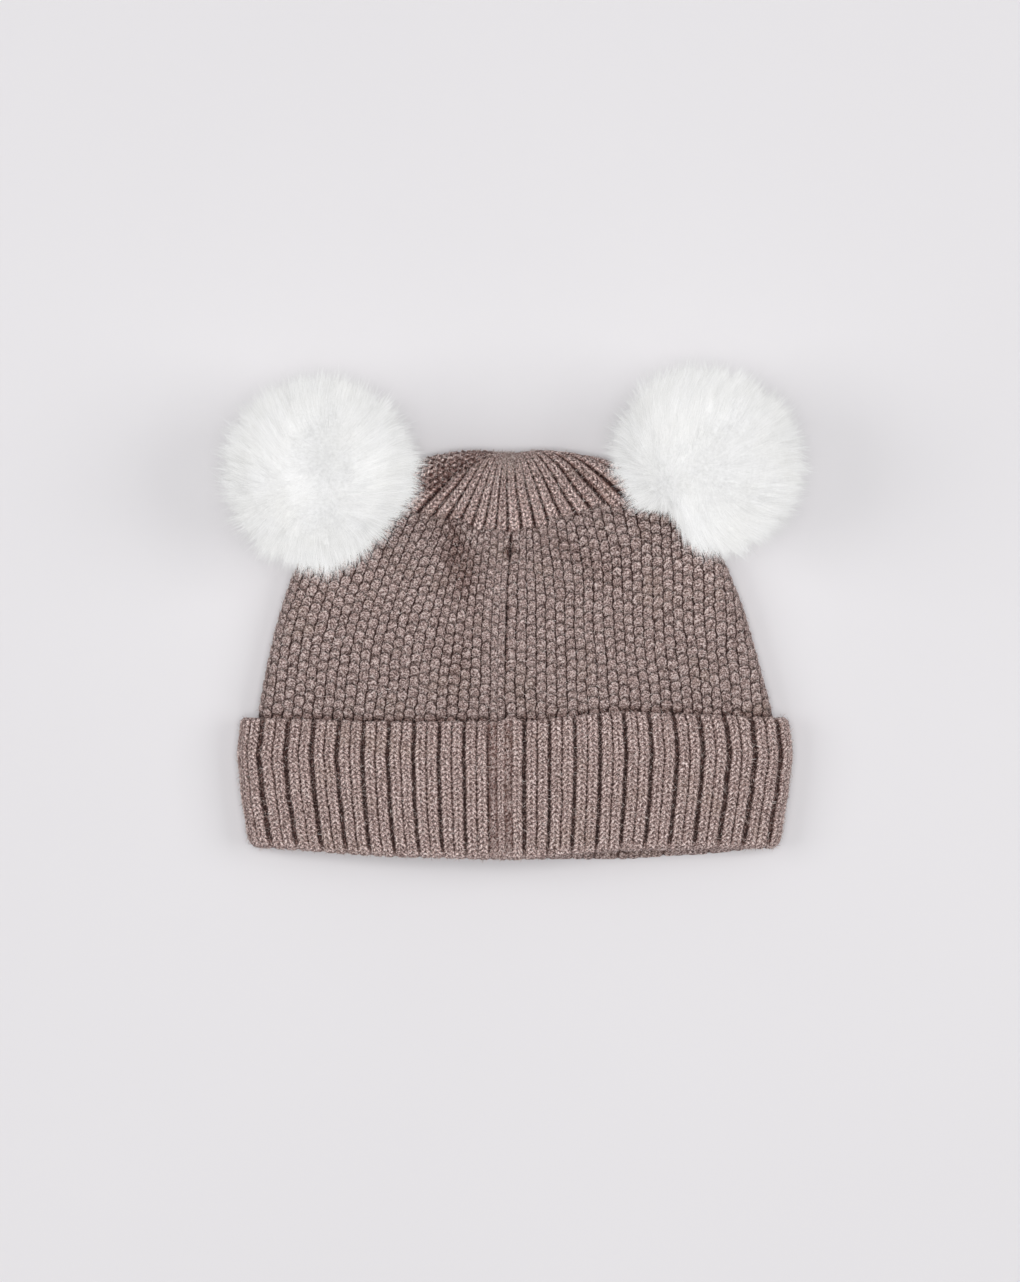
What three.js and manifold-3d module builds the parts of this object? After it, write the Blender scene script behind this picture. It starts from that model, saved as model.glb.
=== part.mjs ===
// A small child's knitted hat with two fur pompoms, lying flat with its back seam up.
// Millimetres, +Z up. +X is the right-hand side seen from above, +Y points from the open brim to
// the crown, and z = 0 is the surface that the hat lies on. The origin is the middle of its
// footprint.

import * as THREE from 'three';
import { mergeVertices } from 'three/addons/utils/BufferGeometryUtils.js';
import Module from 'manifold-3d';

// Cloth
const KNIT = 2.6; // thickness of one layer of knitting
const GAP = 0.3; // clearance between pieces that touch
const LEG_PITCH = KNIT + GAP; // from one leg of the folded cuff to the other

// Crown, seen from above. A wale is one column of stitches, from the brim to the gathering point.
const GATHER = { x: -1.8, y: 60.4 }; // all wales end here
const CROWN_BRIM_Y = -44.2; // lower edge, hidden in the cuff
const WALES = {
  left: { foot: -94.4, lean: -84.6, bend: 24.6, reach: 67.4 }, // the fold on the left side
  seam: { foot: -3.6, lean: -3.2, bend: -9.0, reach: 35.0 }, // the seam up the back
  right: { foot: 95.3, lean: 78.9, bend: 24.3, reach: 71.5 }, // the fold on the right side
};
const PUCKER = { depth: 1.6, width: 8, length: 11 }; // the gathering point is drawn in a little

// Crown, seen from the side: rows across the hat, from the brim upwards
const CROWN_ROWS = [
  { y: -46, lift: LEG_PITCH, fold: 4.6, rise: 12.0 }, // lift: height of the underside
  { y: -29, lift: LEG_PITCH, fold: 4.6, rise: 12.0 }, // fold: radius of the side folds
  { y: -15, lift: 0, fold: 5.8, rise: 10.4 }, // rise: how far the middle arches above the folds
  { y: 5, lift: 0, fold: 6.0, rise: 8.0 },
  { y: 35, lift: 0, fold: 6.0, rise: 4.4 },
  { y: 61, lift: 0, fold: 6.0, rise: 0.6 },
];
const ARCH_HALF_WIDTH = 93; // the arch runs out to nothing here
const ARCH_POWER = 1.3;

// Dents (+) and ridges (-) in the upper side. angle is the direction of the long way, from +X.
const CREASES = [
  { x: -20.5, y: 21.0, length: 17, width: 5.5, angle: 103, depth: 3.0 }, // left of the seam
  { x: -26.0, y: 48.0, length: 13, width: 3.2, angle: 42, depth: 2.6 }, // edge of the gathers
  { x: 27.0, y: 19.5, length: 20, width: 5.0, angle: -28, depth: 1.4 }, // across the right half
  { x: -20.0, y: -18.0, length: 16, width: 7.0, angle: 90, depth: 1.1 }, // down to the cuff
  { x: -6.0, y: 1.0, length: 17, width: 2.6, angle: 90, depth: -1.0 }, // ridge of the seam
  { x: 29.0, y: 48.0, length: 14, width: 4.0, angle: -35, depth: 1.6 }, // by the right pompom
];

// Cuff: two legs of ribbing, one inside the other, joined by the fold at the bottom
const CUFF_FOLD = 7.5; // radius of its side folds
const CUFF_RISE = 12.0; // how far its middle arches above them
const CUFF_INNER_TOP_Y = CROWN_BRIM_Y - GAP;
const CUFF_SIDES = [
  { y: -34, left: -98.6, right: 97.6 },
  { y: -40, left: -99.7, right: 99.6 },
  { y: -50, left: -100.7, right: 100.8 },
  { y: -63, left: -99.6, right: 99.3 },
  { y: -78, left: -97.4, right: 97.0 },
  { y: -89, left: -94.4, right: 94.6 },
];
const CUFF_EDGES = [
  { x: -100, top: -37.2, upper: -84.2, under: -84.2 }, // top: the turned-up edge
  { x: -42, top: -38.4, upper: -87.2, under: -87.2 }, // upper, under: the fold at the bottom
  { x: 0, top: -38.2, upper: -88.0, under: -88.9 },
  { x: 40, top: -34.8, upper: -84.9, under: -88.8 },
  { x: 70, top: -36.0, upper: -84.6, under: -87.2 },
  { x: 100, top: -37.2, upper: -84.4, under: -84.4 },
];
const LEG_SIDE_GAP = 2.4; // the inner leg is this much narrower than the outer one at its top
const LIP = KNIT / 3; // rounding of the turned-up edge

// Pompoms
const POMPOMS = [
  { name: 'pompom_left', x: -69.0, y: 50.6, z: 33.0, width: 70.0, depth: 70.0, height: 70.0 },
  { name: 'pompom_right', x: 68.3, y: 54.4, z: 33.0, width: 71.4, depth: 68.8, height: 69.0 },
];

// How finely the surfaces are divided
const UPPER_STEPS = 24; // across the upper side
const UNDER_STEPS = 14; // across the underside
const FOLD_STEPS = 8; // around each side fold
const CROWN_STEPS = 24; // from the brim to the gathering point
const CROWN_CROWDING = 1.35; // how much these steps close up towards the gathering point
const OUTLINE_STEPS = 160; // along each side of the crown's outline
const LEG_STEPS = 4; // up each leg of the cuff
const BOTTOM_FOLD_TURNS = [45, 90, 135]; // around the fold between the legs
const POMPOM_STEPS = { around: 32, down: 20 };
const SAME_POINT = 1e-4; // points closer than this are merged

const knitMaterial = new THREE.MeshStandardMaterial({ color: 0x8b7975, roughness: 0.95, metalness: 0 });
const ribMaterial = new THREE.MeshStandardMaterial({ color: 0x897976, roughness: 0.95, metalness: 0 });
const furMaterial = new THREE.MeshStandardMaterial({ color: 0xe9e9e6, roughness: 0.9, metalness: 0 });

const { lerp, clamp, degToRad } = THREE.MathUtils;

// One column of a table at a place along its first column, eased between the rows.
function lookUp(rows, key, column, place) {
  const ascending = [...rows].sort((a, b) => a[key] - b[key]);
  const last = ascending.length - 1;
  if (place <= ascending[0][key]) return ascending[0][column];
  if (place >= ascending[last][key]) return ascending[last][column];
  const next = ascending.findIndex((row) => row[key] > place);
  const low = ascending[next - 1];
  const high = ascending[next];
  const share = THREE.MathUtils.smoothstep(place, low[key], high[key]);
  return lerp(low[column], high[column], lerp(share, (place - low[key]) / (high[key] - low[key]), 0.5));
}

function arch(x) {
  const share = Math.min(1, Math.abs(x) / ARCH_HALF_WIDTH);
  return (1 - share * share) ** ARCH_POWER;
}

// Where a wale lies in plan. across runs from -1, the left fold, over 0, the seam, to 1, the right
// fold; along runs from 0, the brim, to 1, the gathering point.
function waleInPlan(across, along) {
  const side = across < 0 ? WALES.left : WALES.right;
  const seam = WALES.seam;
  const share = Math.abs(across);
  const fan = (across * Math.PI) / 2;
  const reach = lerp(seam.reach, side.reach, share * share);
  const curve = new THREE.CubicBezierCurve(
    new THREE.Vector2(lerp(seam.foot, side.foot, share), CROWN_BRIM_Y),
    new THREE.Vector2(lerp(seam.lean, side.lean, share), lerp(seam.bend, side.bend, share * share)),
    new THREE.Vector2(GATHER.x + reach * Math.sin(fan), GATHER.y - reach * Math.cos(fan)),
    new THREE.Vector2(GATHER.x, GATHER.y),
  );
  const point = curve.getPoint(along);
  const nearGather = ((point.x - GATHER.x) / PUCKER.width) ** 2 + ((point.y - GATHER.y) / PUCKER.length) ** 2;
  point.y -= PUCKER.depth * Math.exp(-nearGather);
  return point;
}

// The outline of the crown in plan, up the left fold and down the right one.
const outline = [];
for (let step = 0; step <= OUTLINE_STEPS; step += 1) outline.push(waleInPlan(-1, step / OUTLINE_STEPS));
for (let step = OUTLINE_STEPS - 1; step >= 0; step -= 1) outline.push(waleInPlan(1, step / OUTLINE_STEPS));

function distanceToOutline(point) {
  let nearest = Infinity;
  for (let i = 1; i < outline.length; i += 1) {
    const start = outline[i - 1];
    const run = outline[i].clone().sub(start);
    const offset = point.clone().sub(start);
    const share = clamp(offset.dot(run) / run.lengthSq(), 0, 1);
    nearest = Math.min(nearest, offset.sub(run.multiplyScalar(share)).length());
  }
  return nearest;
}

function creaseDepth(point) {
  let depth = 0;
  for (const crease of CREASES) {
    const offset = point.clone().sub(new THREE.Vector2(crease.x, crease.y));
    offset.rotateAround(new THREE.Vector2(), -degToRad(crease.angle));
    depth += crease.depth * Math.exp(-((offset.x / crease.length) ** 2) - (offset.y / crease.width) ** 2);
  }
  return depth;
}

// Stations around the hat, counter-clockwise seen from the brim: across the underside from left
// to right, around the right fold, back over the upper side and around the left fold. flat is the
// place across the flat part, turn the angle around the fold, from -90 under it to 90 above it.
const stations = [];
for (let step = 0; step < UNDER_STEPS; step += 1) {
  stations.push({ flat: (2 * step) / UNDER_STEPS - 1, turn: -90, side: 0 });
}
for (let step = 0; step < FOLD_STEPS; step += 1) {
  stations.push({ flat: 1, turn: (180 * step) / FOLD_STEPS - 90, side: 1 });
}
for (let step = 0; step < UPPER_STEPS; step += 1) {
  stations.push({ flat: 1 - (2 * step) / UPPER_STEPS, turn: 90, side: 0 });
}
for (let step = 0; step < FOLD_STEPS; step += 1) {
  stations.push({ flat: -1, turn: 90 - (180 * step) / FOLD_STEPS, side: -1 });
}

// A point of the crown's outer surface.
function crownPoint(station, along) {
  const half = Math.abs(station.flat < 0 ? WALES.left.foot : WALES.right.foot);
  const fold = CROWN_ROWS[0].fold;
  const reach = fold * Math.cos(degToRad(station.turn)) * Math.abs(station.side);
  const across = (station.flat * (half - fold) + station.side * reach) / half;
  const plan = waleInPlan(across, along);
  const lift = lookUp(CROWN_ROWS, 'y', 'lift', plan.y);
  const radius = lookUp(CROWN_ROWS, 'y', 'fold', plan.y);
  const inside = station.turn === 0 ? 0 : Math.min(1, distanceToOutline(plan) / radius);
  const roll = Math.sqrt(1 - (1 - inside) ** 2);
  if (station.turn <= 0) return new THREE.Vector3(plan.x, plan.y, lift + radius * (1 - roll));
  const rise = lookUp(CROWN_ROWS, 'y', 'rise', plan.y) * arch(plan.x) - creaseDepth(plan);
  return new THREE.Vector3(plan.x, plan.y, lift + radius * (1 + roll) + rise * roll);
}

// Closed rings of points joined by triangles, from the first ring to the last.
function skin(rings, inwards) {
  const count = rings[0].length;
  const triangles = [];
  for (let r = 1; r < rings.length; r += 1) {
    for (let i = 0; i < count; i += 1) {
      const j = (i + 1) % count;
      const [a, b, c, d] = [rings[r - 1][i], rings[r - 1][j], rings[r][j], rings[r][i]];
      triangles.push(...(inwards ? [a, b, c, a, c, d] : [a, c, b, a, d, c]));
    }
  }
  return triangles;
}

// Triangles as a geometry whose shared points are merged, without the ones that have no area.
function geometryOf(triangles) {
  const soup = new THREE.BufferGeometry().setFromPoints(triangles);
  const merged = mergeVertices(soup, SAME_POINT);
  const index = merged.getIndex().array;
  const kept = [];
  for (let i = 0; i < index.length; i += 3) {
    const [a, b, c] = [index[i], index[i + 1], index[i + 2]];
    if (a !== b && b !== c && c !== a) kept.push(a, b, c);
  }
  merged.setIndex(kept);
  return merged;
}

function crownRings() {
  const rings = [];
  for (let row = 0; row <= CROWN_STEPS; row += 1) {
    const along = 1 - (1 - row / CROWN_STEPS) ** CROWN_CROWDING;
    rings.push(stations.map((station) => crownPoint(station, along)));
  }
  return rings;
}

// The same rings moved along their surface's normals, outwards for a positive distance.
function offsetRings(rings, distance) {
  const last = rings.length - 1;
  return rings.map((ring, r) => {
    if (r === last) return ring.map((point) => point.clone().add(new THREE.Vector3(0, distance, 0)));
    return ring.map((point, i) => {
      const next = ring[(i + 1) % ring.length];
      const previous = ring[(i + ring.length - 1) % ring.length];
      const around = next.clone().sub(previous);
      const up = rings[r + 1][i].clone().sub(rings[Math.max(0, r - 1)][i]);
      const normal = up.cross(around).normalize();
      if (r === 0) normal.setY(0).normalize(); // the brim stays in its own plane
      return point.clone().addScaledVector(normal, distance);
    });
  });
}

function crownGeometry() {
  const outer = crownRings();
  const inner = offsetRings(outer, -KNIT);
  return geometryOf([...skin(outer, false), ...skin([inner[0], outer[0]], false), ...skin(inner, true)]);
}

// A point of the cuff, inset from its outer surface.
function cuffPoint(station, y, inset) {
  const left = lookUp(CUFF_SIDES, 'y', 'left', y);
  const right = lookUp(CUFF_SIDES, 'y', 'right', y);
  const edge = station.flat < 0 ? -left : right;
  const innerShare = clamp((inset - KNIT) / GAP, 0, 1);
  const heightShare = clamp((y - CUFF_SIDES.at(-1).y) / (CUFF_INNER_TOP_Y - CUFF_SIDES.at(-1).y), 0, 1);
  const half = edge - LEG_SIDE_GAP * innerShare * heightShare;
  const turn = degToRad(station.turn);
  const x = station.flat * (half - CUFF_FOLD) + station.side * (CUFF_FOLD - inset) * Math.cos(turn);
  const rise = station.turn > 0 ? CUFF_RISE * arch(x) * Math.sin(turn) : 0;
  return new THREE.Vector3(x, y, CUFF_FOLD + (CUFF_FOLD - inset) * Math.sin(turn) + rise);
}

// The section of the cuff at one station. It runs down the outside of the outer leg, around the
// fold, up the inside of the inner leg, and back between the two legs to the turned-up edge.
function cuffSection(station) {
  const x = cuffPoint(station, CUFF_INNER_TOP_Y, 0).x;
  const top = lookUp(CUFF_EDGES, 'x', 'top', x);
  const under = lookUp(CUFF_EDGES, 'x', 'under', x);
  const upper = lookUp(CUFF_EDGES, 'x', 'upper', x);
  const bottom = lerp(under, upper, (Math.sin(degToRad(station.turn)) + 1) / 2);
  const foldRadius = KNIT + GAP / 2;
  const foldY = bottom + foldRadius;
  const section = [];
  for (let step = 0; step <= LEG_STEPS; step += 1) {
    section.push([lerp(top - LIP, foldY, step / LEG_STEPS), 0]);
  }
  for (const degrees of BOTTOM_FOLD_TURNS) {
    const turn = degToRad(degrees);
    section.push([foldY - foldRadius * Math.sin(turn), foldRadius * (1 - Math.cos(turn))]);
  }
  for (let step = 0; step <= LEG_STEPS; step += 1) {
    section.push([lerp(foldY, CUFF_INNER_TOP_Y, step / LEG_STEPS), 2 * KNIT + GAP]);
  }
  for (let step = 0; step <= LEG_STEPS; step += 1) {
    section.push([lerp(CUFF_INNER_TOP_Y, foldY, step / LEG_STEPS), LEG_PITCH]);
  }
  for (let step = 0; step <= LEG_STEPS; step += 1) {
    section.push([lerp(foldY, top - LIP, step / LEG_STEPS), KNIT]);
  }
  section.push([top, KNIT - LIP], [top, LIP]);
  return section.map(([y, inset]) => cuffPoint(station, y, inset));
}

function cuffGeometry() {
  const sections = stations.map(cuffSection);
  return geometryOf(skin([...sections, sections[0]], false));
}

const wasm = await Module();
wasm.setup();

function solidOf(geometry) {
  return new wasm.Manifold(
    new wasm.Mesh({
      numProp: 3,
      vertProperties: new Float32Array(geometry.getAttribute('position').array),
      triVerts: new Uint32Array(geometry.getIndex().array),
    }),
  );
}

function geometryFrom(solid) {
  const mesh = solid.getMesh();
  const geometry = new THREE.BufferGeometry();
  geometry.setAttribute('position', new THREE.BufferAttribute(new Float32Array(mesh.vertProperties), 3));
  geometry.setIndex(new THREE.BufferAttribute(new Uint32Array(mesh.triVerts), 1));
  return geometry;
}

// The crown without its hollow, grown by the clearance: the seat that the pompoms are shaped to.
function crownSeat() {
  const rings = offsetRings(crownRings(), GAP);
  const centre = new THREE.Vector3(0, CROWN_BRIM_Y, CUFF_FOLD);
  const brim = rings[0].map(() => centre);
  return solidOf(geometryOf(skin([brim, ...rings], false)));
}

// A ball of fur, flat where it rests on the ground and hollowed where it sits on the crown.
function pompomGeometry(pompom, seat) {
  const ball = new THREE.SphereGeometry(0.5, POMPOM_STEPS.around, POMPOM_STEPS.down);
  ball.rotateX(Math.PI / 2);
  ball.scale(pompom.width, pompom.depth, pompom.height);
  ball.translate(pompom.x, pompom.y, pompom.z);
  ball.deleteAttribute('normal');
  ball.deleteAttribute('uv');
  const position = ball.getAttribute('position');
  for (let i = 0; i < position.count; i += 1) position.setZ(i, Math.max(0, position.getZ(i)));
  return geometryFrom(solidOf(mergeVertices(ball, SAME_POINT)).subtract(seat));
}

function piece(name, geometry, material) {
  const mesh = new THREE.Mesh(geometry, material);
  mesh.name = name;
  return mesh;
}

const hat = new THREE.Group();
hat.add(piece('crown', crownGeometry(), knitMaterial));
hat.add(piece('cuff', cuffGeometry(), ribMaterial));
const seat = crownSeat();
for (const pompom of POMPOMS) hat.add(piece(pompom.name, pompomGeometry(pompom, seat), furMaterial));

export default hat;
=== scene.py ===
"""A small child's knitted hat with two fur pompoms, lying flat with its back seam up.

The crown is knitted in seed stitch and ends in a fan of ribs, the cuff is 2x2 ribbing turned up
once, and the pompoms are faux fur. Shapes are worked out in millimetres, in the frame of the CAD
model, and turned into metres when a mesh is made.
"""

import math

import bpy
import numpy as np
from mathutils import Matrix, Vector


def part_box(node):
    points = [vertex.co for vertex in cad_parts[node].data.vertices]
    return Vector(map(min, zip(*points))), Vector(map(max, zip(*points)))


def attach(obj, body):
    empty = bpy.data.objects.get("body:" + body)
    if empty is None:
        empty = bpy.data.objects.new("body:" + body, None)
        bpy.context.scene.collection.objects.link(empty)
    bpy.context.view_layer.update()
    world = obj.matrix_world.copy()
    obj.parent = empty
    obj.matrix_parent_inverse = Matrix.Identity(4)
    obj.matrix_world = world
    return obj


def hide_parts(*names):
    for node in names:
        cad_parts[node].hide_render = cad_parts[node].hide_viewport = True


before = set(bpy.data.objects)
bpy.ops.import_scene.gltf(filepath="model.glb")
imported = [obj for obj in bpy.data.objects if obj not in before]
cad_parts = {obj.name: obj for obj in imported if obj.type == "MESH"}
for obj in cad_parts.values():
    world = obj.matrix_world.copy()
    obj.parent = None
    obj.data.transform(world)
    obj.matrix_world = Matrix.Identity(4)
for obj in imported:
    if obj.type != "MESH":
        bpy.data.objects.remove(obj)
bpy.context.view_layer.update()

MM = 0.001


def box_mm(node):
    """Lowest and highest corner of a CAD node, in millimetres."""
    low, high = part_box(node)
    return np.array(low) / MM, np.array(high) / MM


def table(names, *rows):
    """Rows as dictionaries, with one name for each column."""
    return [dict(zip(names.split(), row)) for row in rows]


# ---------------------------------------------------------------- the shape, as in the CAD model

KNIT = 2.6  # thickness of one layer of knitting
GAP = 0.3  # clearance between pieces that touch
LEG_PITCH = KNIT + GAP  # from one leg of the folded cuff to the other

GATHER = np.array([-1.8, 60.4])  # all wales end here
CROWN_BRIM_Y = box_mm("crown")[0][1]  # lower edge, hidden in the cuff
WALES = {
    "left": {"foot": -94.4, "lean": -84.6, "bend": 24.6, "reach": 67.4},  # the left fold
    "seam": {"foot": -3.6, "lean": -3.2, "bend": -9.0, "reach": 35.0},  # the seam up the back
    "right": {"foot": 95.3, "lean": 78.9, "bend": 24.3, "reach": 71.5},  # the right fold
}
PUCKER = {"depth": 1.6, "width": 8.0, "length": 11.0}  # the gathering point is drawn in a little

# lift: height of the underside; fold: radius of the side folds; rise: of the arch over them
CROWN_ROWS = table(
    "y lift fold rise",
    (-46, LEG_PITCH, 4.6, 12.0),
    (-29, LEG_PITCH, 4.6, 12.0),
    (-15, 0, 5.8, 10.4),
    (5, 0, 6.0, 8.0),
    (35, 0, 6.0, 4.4),
    (61, 0, 6.0, 0.6),
)
CROWN_FOLD = CROWN_ROWS[0]["fold"]
ARCH_HALF_WIDTH = 93
ARCH_POWER = 1.3

# Dents (+) and ridges (-); angle is the direction of the long way, from +X
CREASES = table(
    "x y length width angle depth",
    (-20.5, 21.0, 17, 5.5, 103, 3.0),
    (-26.0, 48.0, 13, 3.2, 42, 2.6),
    (27.0, 19.5, 20, 5.0, -28, 1.4),
    (-20.0, -18.0, 16, 7.0, 90, 1.1),
    (-6.0, 1.0, 17, 2.6, 90, -1.0),
    (29.0, 48.0, 14, 4.0, -35, 1.6),
)

CUFF_FOLD = 7.5  # radius of the cuff's side folds
CUFF_RISE = 12.0
CUFF_INNER_TOP_Y = CROWN_BRIM_Y - GAP
CUFF_SIDES = table(
    "y left right",
    (-34, -98.6, 97.6),
    (-40, -99.7, 99.6),
    (-50, -100.7, 100.8),
    (-63, -99.6, 99.3),
    (-78, -97.4, 97.0),
    (-89, -94.4, 94.6),
)
# top: the turned-up edge; upper, under: the fold at the bottom
CUFF_EDGES = table(
    "x top upper under",
    (-100, -37.2, -84.2, -84.2),
    (-42, -38.4, -87.2, -87.2),
    (0, -38.2, -88.0, -88.9),
    (40, -34.8, -84.9, -88.8),
    (70, -36.0, -84.6, -87.2),
    (100, -37.2, -84.4, -84.4),
)
SEAM_LUMP = {"x": -1.8, "width": 2.4, "height": 2.0}  # on the top edge, where the seam passes it
LEG_SIDE_GAP = 2.4  # the inner leg is this much narrower than the outer one at its top

# ---------------------------------------------------------------- the knitting

SEAM_X = -3.0
SEAM_SWING = 2.9  # the seam leans this far to the right below the fan
KNIT_ROW = 1.85  # height of one V of plain knitting
LEG_LEAN = 1.05  # how many rows a leg rises from the side of its wale to the middle

BUMP_WIDTH = 3.72  # one column of seed stitch
BUMP_LENGTH = 3.92  # one bump along its column, at the seam
BUMP_STRETCH = 0.45  # how much longer a bump is at the side folds
HEAD_ARC = 0.30  # the sides of a bump's head are this many rows lower than its middle
SEAM_COLUMN_WIDTH = 2.7  # the two smooth columns left of the seam
COLUMNS_FROM_Y = -27  # the columns of seed stitch are evenly spaced here
COLUMNS_TURN = {"y": 61, "radius": 58}  # within this circle they also bend towards the fan
ROWS_CLIMB = 0.28  # rows of bumps rise outwards from the seam
ROWS_ROUND = 6.0  # and bend there over about this width
SEED_DEPTH = 1.45
SEED_PROUD = 0.45  # how far bumps stand above the CAD surface
# Painted shade: creases are painted darker, by this share for each millimetre of depth.
CREASE_SHADE = 0.14  # how much darker the yarn is with each millimetre of a crease
# Holes (-) and knots (+) of single stitches near the seam
MARKS = table(
    "x y radius height",
    (-2.3, 22.6, 1.5, -1.1),
    (-1.8, 25.4, 1.3, -0.9),
    (-1.6, 28.2, 0.8, -0.6),
    (-6.2, 28.4, 1.8, 0.35),
    (-3.4, 47.0, 0.8, -1.0),
)

FAN_Y = 30.8  # the ribs of the crown begin here at the seam
FAN_CENTRE = np.array([-2.9, 59.6])  # the ribs run together here
# Width of a rib at the centre, and how much wider it gets with each millimetre
FAN_RIBS = {"left": (1.25, 0.106), "right": (2.2, 0.101)}
FAN_GROOVE = 1.22  # ribs stop short of the grooves between them
RECESS = {"x": -7.0, "y": 57.6, "angle": 28}  # where the sunken part's lower edge ends
RECESS_ROW = 1.95  # its rows of purl stitches, and the stitches along them
RECESS_PITCH = 2.5

RIB_DEPTH = 1.9
INNER_RIB_DEPTH = RIB_DEPTH * 0.7
RIB_PROUD = 0.4
RIB_PERIOD = 8.87  # two knit wales and a groove
RIB_SPREAD = 0.042  # periods get a little longer away from the seam, up to the last of these
RIB_SPREAD_COUNT = 12
RIB_COUNT = 35  # on each side of the seam, all the way around
FIRST_GROOVE = 6.5  # from the seam
WALE_HALF_WIDTH = 2.10
WALE_SPACING = 0.98  # the two wales of a rib overlap a little
SEAM_WALES = table("middle half", (-2.05, 1.45), (3.9, 2.0))  # beside the seam
PURL_STRIPS = table("middle half", (-4.95, 1.4), (0.65, 1.2))  # next to them
PURL_PITCH = 1.3  # of the bumps in them
CUFF_LUMP = {"arc": 1.2, "width": 1.9}  # the seam's stitch on the turned-up edge

CROWN_HALF_WIDTH = 95  # for counting the points around it
CROWN_COLUMN_STEP = 0.53  # size of the mesh on the upper side
CROWN_ROW_STEP = 0.56
CROWN_UNDER_STEP = 1.8
CROWN_INSIDE = {"rows": 4, "columns": 5}  # the inside has one point for so many of the outside
CUFF_HALF_WIDTH = 100
CUFF_COLUMN_STEP = 0.44
CUFF_ROW_STEP = 0.42
CUFF_UNDER_STEP = 1.35
CUFF_INSIDE_COLUMNS = 2
INNER_LEG_ROWS = 40
HIDDEN_ROWS = 5  # between the legs
LOWEST = 0.02  # height of the lowest points above the floor
OFF_FLOOR = (0.3, 4.0)  # stitches stand out of the CAD surface from the first height to the second
CROWN_FREE_Y = (-40, -37)  # and so does the crown above the cuff

TABLE_SIZE = 101  # random values repeat after so many cells


# ---------------------------------------------------------------- helpers

def smoothstep(low, high, value):
    share = np.clip((value - low) / (high - low), 0, 1)
    return share * share * (3 - 2 * share)


def lerp(start, end, share):
    return start + (end - start) * share


def bell(*offsets):
    """1 in the middle and less outwards; the offsets are in shares of the width."""
    return np.exp(-sum(offset**2 for offset in offsets))


def look_up(rows, key, place, *columns):
    """Columns of a table at a place along its key column, eased between the rows."""
    rows = sorted(rows, key=lambda row: row[key])
    keys = np.array([row[key] for row in rows], float)
    place = np.clip(place, keys[0], keys[-1])
    low = np.clip(np.searchsorted(keys, place, side="right") - 1, 0, len(keys) - 2)
    share = (place - keys[low]) / (keys[low + 1] - keys[low])
    share = (share + smoothstep(0, 1, share)) / 2
    found = [np.array([row[column] for row in rows], float) for column in columns]
    found = [lerp(values[low], values[low + 1], share) for values in found]
    return found if len(found) > 1 else found[0]


def random_table(seed):
    return np.random.default_rng(seed).uniform(-1, 1, (TABLE_SIZE, TABLE_SIZE))


def per_stitch(column, row, seed):
    """A random value from -1 to 1 for each whole column and row."""
    return random_table(seed)[column.astype(int) % TABLE_SIZE, row.astype(int) % TABLE_SIZE]


def smooth_noise(x, y, cell, seed):
    """Random values from -1 to 1 that change smoothly over about one cell."""
    u, v = x / cell, y / cell
    i, j = np.floor(u), np.floor(v)
    across, up = smoothstep(0, 1, u - i), smoothstep(0, 1, v - j)
    low = lerp(per_stitch(i, j, seed), per_stitch(i + 1, j, seed), across)
    high = lerp(per_stitch(i, j + 1, seed), per_stitch(i + 1, j + 1, seed), across)
    return lerp(low, high, up)


def uneven(value, x, y, *parts):
    """The value with smooth noise added; each part gives its strength, cell and seed."""
    for strength, cell, seed in parts:
        value = value + strength * smooth_noise(x, y, cell, seed)
    return value


def unit(vectors):
    return vectors / np.maximum(np.linalg.norm(vectors, axis=-1, keepdims=True), 1e-12)


def arch(x):
    share = np.minimum(1, np.abs(x) / ARCH_HALF_WIDTH)
    return (1 - share * share) ** ARCH_POWER


def along_and_across(x, y, line):
    """Places measured from a line's point, along its angle and across it."""
    turn = math.radians(line["angle"])
    dx, dy = x - line["x"], y - line["y"]
    return dx * math.cos(turn) + dy * math.sin(turn), dy * math.cos(turn) - dx * math.sin(turn)


# ---------------------------------------------------------------- places around the flat hat

def ring_around(half, fold, upper_step, under_step):
    """Places about one step apart around a flat tube half as wide as said, from the left fold's
    tip over the upper side and back below it. The last place is the first again.

    The three rows are the place across the flat part, from -1 to 1; the angle around a side fold,
    90 degrees above and -90 below; and which fold it is, 0 on the flat part.
    """
    runs = []
    for step, sign in ((upper_step, 1), (under_step, -1)):
        quarter = round(fold * math.pi / 2 / step)
        across = round(2 * (half - fold) / step)
        bend = np.linspace(0, 90, quarter, endpoint=False) * sign
        runs.append((-sign, bend, -sign))
        runs.append((np.linspace(-sign, sign, across, endpoint=False), 90 * sign, 0))
        runs.append((sign, 90 * sign - bend, sign))
    runs.append((-1, np.zeros(1), -1))
    flat, turn, side = np.hstack([np.broadcast_arrays(*run) for run in runs])
    return np.array([flat, np.radians(turn), side])


def ring_normals(points):
    """Outward normals of a grid whose columns run around a ring that closes on itself."""
    ring = points[:, :-1]
    around = unit(np.roll(ring, -1, 1) - ring) + unit(ring - np.roll(ring, 1, 1))
    around = np.concatenate([around, around[:, :1]], 1)
    up = np.gradient(points, axis=0)
    return unit(np.cross(around, up))


def lengths(points):
    """Length along the first axis of a run or grid of points."""
    steps = np.linalg.norm(np.diff(points, axis=0), axis=-1)
    return np.concatenate([0 * steps[:1], np.cumsum(steps, 0)])


# ---------------------------------------------------------------- meshes

def grid_faces(ids, flip=False):
    """Quads between neighbours in a grid of point numbers."""
    faces = np.stack([ids[:-1, :-1], ids[:-1, 1:], ids[1:, 1:], ids[1:, :-1]], -1).reshape(-1, 4)
    return faces[:, ::-1] if flip else faces


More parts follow.
